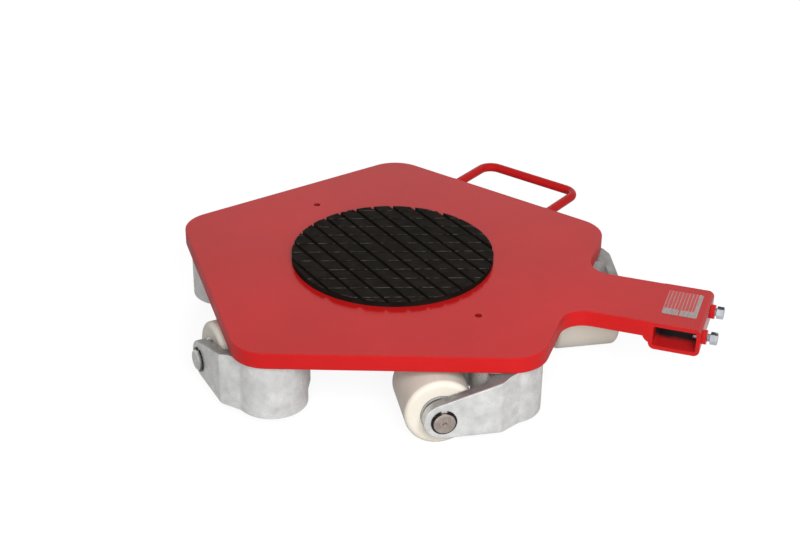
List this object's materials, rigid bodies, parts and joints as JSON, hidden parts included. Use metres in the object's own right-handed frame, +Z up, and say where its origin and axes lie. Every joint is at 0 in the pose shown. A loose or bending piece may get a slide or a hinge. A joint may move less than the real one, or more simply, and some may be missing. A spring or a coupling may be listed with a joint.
{
  "type": "machine skate",
  "caption": "Low five-sided steel machine skate with a round rubber load pad, swivelling nylon roller casters, a lifting handle and a tongue ending in a clamped socket for a connecting bar.",
  "frame": {"origin": "middle of the load pad's top face", "axes": "+Z up out of the load pad, +X along the tongue towards the bar socket, +Y towards the side with the lifting handle"},
  "size_m": [0.6879, 0.5905, 0.118],
  "materials": {
    "red_paint": "glossy red paint over steel",
    "pad_rubber": "black grooved rubber",
    "cast_zinc": "galvanised casting, mottled grey",
    "nylon": "cream cast nylon, turned",
    "bright_zinc": "bright zinc plating",
    "axle_steel": "bright turned steel",
    "spring_steel": "blackened spring steel",
    "bearing_steel": "ground bearing steel",
    "bronze": "plain bearing bronze",
    "label_foil": "blank satin foil"
  },
  "bodies": {
    "deck": {"deck_plate": "red_paint", "load_pad": "pad_rubber", "lift_handle": "red_paint", "bar_socket": "red_paint", "weld_beads": "red_paint", "clamp_nuts": "red_paint", "rating_label": "label_foil", "kingpins": "axle_steel", "thrust_upper_races": "bearing_steel", "thrust_balls": "bearing_steel", "kingpin_washers": "bright_zinc", "kingpin_circlips": "spring_steel"},
    "swivel_front_left": {"fork_front_left": "cast_zinc", "thrust_lower_race_front_left": "bearing_steel", "swivel_bush_front_left": "bronze", "axle_front_left": "axle_steel", "axle_circlips_front_left": "spring_steel", "axle_spacers_front_left": "bright_zinc", "bearing_cores_front_left": "bearing_steel"},
    "wheel_front_left": {"roller_front_left": "nylon", "bearing_shells_front_left": "bearing_steel"},
    "swivel_rear_left": {"fork_rear_left": "cast_zinc", "thrust_lower_race_rear_left": "bearing_steel", "swivel_bush_rear_left": "bronze", "axle_rear_left": "axle_steel", "axle_circlips_rear_left": "spring_steel", "axle_spacers_rear_left": "bright_zinc", "bearing_cores_rear_left": "bearing_steel"},
    "wheel_rear_left": {"roller_rear_left": "nylon", "bearing_shells_rear_left": "bearing_steel"},
    "swivel_tail": {"fork_tail": "cast_zinc", "thrust_lower_race_tail": "bearing_steel", "swivel_bush_tail": "bronze", "axle_tail": "axle_steel", "axle_circlips_tail": "spring_steel", "axle_spacers_tail": "bright_zinc", "bearing_cores_tail": "bearing_steel"},
    "wheel_tail": {"roller_tail": "nylon", "bearing_shells_tail": "bearing_steel"},
    "swivel_rear_right": {"fork_rear_right": "cast_zinc", "thrust_lower_race_rear_right": "bearing_steel", "swivel_bush_rear_right": "bronze", "axle_rear_right": "axle_steel", "axle_circlips_rear_right": "spring_steel", "axle_spacers_rear_right": "bright_zinc", "bearing_cores_rear_right": "bearing_steel"},
    "wheel_rear_right": {"roller_rear_right": "nylon", "bearing_shells_rear_right": "bearing_steel"},
    "swivel_front_right": {"fork_front_right": "cast_zinc", "thrust_lower_race_front_right": "bearing_steel", "swivel_bush_front_right": "bronze", "axle_front_right": "axle_steel", "axle_circlips_front_right": "spring_steel", "axle_spacers_front_right": "bright_zinc", "bearing_cores_front_right": "bearing_steel"},
    "wheel_front_right": {"roller_front_right": "nylon", "bearing_shells_front_right": "bearing_steel"},
    "clamp_front": {"clamp_screw_front": "bright_zinc"},
    "clamp_rear": {"clamp_screw_rear": "bright_zinc"}
  },
  "joints": [
    {"name": "swivel_front_left", "type": "hinge", "parent": "deck", "child": "swivel_front_left", "pos_m": [0.18609, 0.1352, -0.028], "axis": [0, 0, 1], "continuous": true},
    {"name": "roll_front_left", "type": "hinge", "parent": "swivel_front_left", "child": "wheel_front_left", "pos_m": [0.22909, 0.06073, -0.077], "axis": [0.866, 0.5, 0], "continuous": true},
    {"name": "swivel_rear_left", "type": "hinge", "parent": "deck", "child": "swivel_rear_left", "pos_m": [-0.07108, 0.21876, -0.028], "axis": [0, 0, 1], "continuous": true},
    {"name": "roll_rear_left", "type": "hinge", "parent": "swivel_rear_left", "child": "wheel_rear_left", "pos_m": [0.00973, 0.24818, -0.077], "axis": [-0.342, 0.9397, 0], "continuous": true},
    {"name": "swivel_tail", "type": "hinge", "parent": "deck", "child": "swivel_tail", "pos_m": [-0.23002, 0, -0.028], "axis": [0, 0, 1], "continuous": true},
    {"name": "roll_tail", "type": "hinge", "parent": "swivel_tail", "child": "wheel_tail", "pos_m": [-0.18069, 0.07045, -0.077], "axis": [-0.8192, 0.5736, 0], "continuous": true},
    {"name": "swivel_rear_right", "type": "hinge", "parent": "deck", "child": "swivel_rear_right", "pos_m": [-0.07108, -0.21876, -0.028], "axis": [0, 0, 1], "continuous": true},
    {"name": "roll_rear_right", "type": "hinge", "parent": "swivel_rear_right", "child": "wheel_rear_right", "pos_m": [-0.13294, -0.15902, -0.077], "axis": [-0.6947, -0.7193, 0], "continuous": true},
    {"name": "swivel_front_right", "type": "hinge", "parent": "deck", "child": "swivel_front_right", "pos_m": [0.18609, -0.1352, -0.028], "axis": [0, 0, 1], "continuous": true},
    {"name": "roll_front_right", "type": "hinge", "parent": "swivel_front_right", "child": "wheel_front_right", "pos_m": [0.11161, -0.1782, -0.077], "axis": [0.5, -0.866, 0], "continuous": true},
    {"name": "clamp_front", "type": "slide", "parent": "deck", "child": "clamp_front", "axis": [1, 0, 0], "range_m": [-0.0036, 0.0061]},
    {"name": "clamp_rear", "type": "slide", "parent": "deck", "child": "clamp_rear", "axis": [1, 0, 0], "range_m": [-0.0016, 0.0081]}
  ]
}
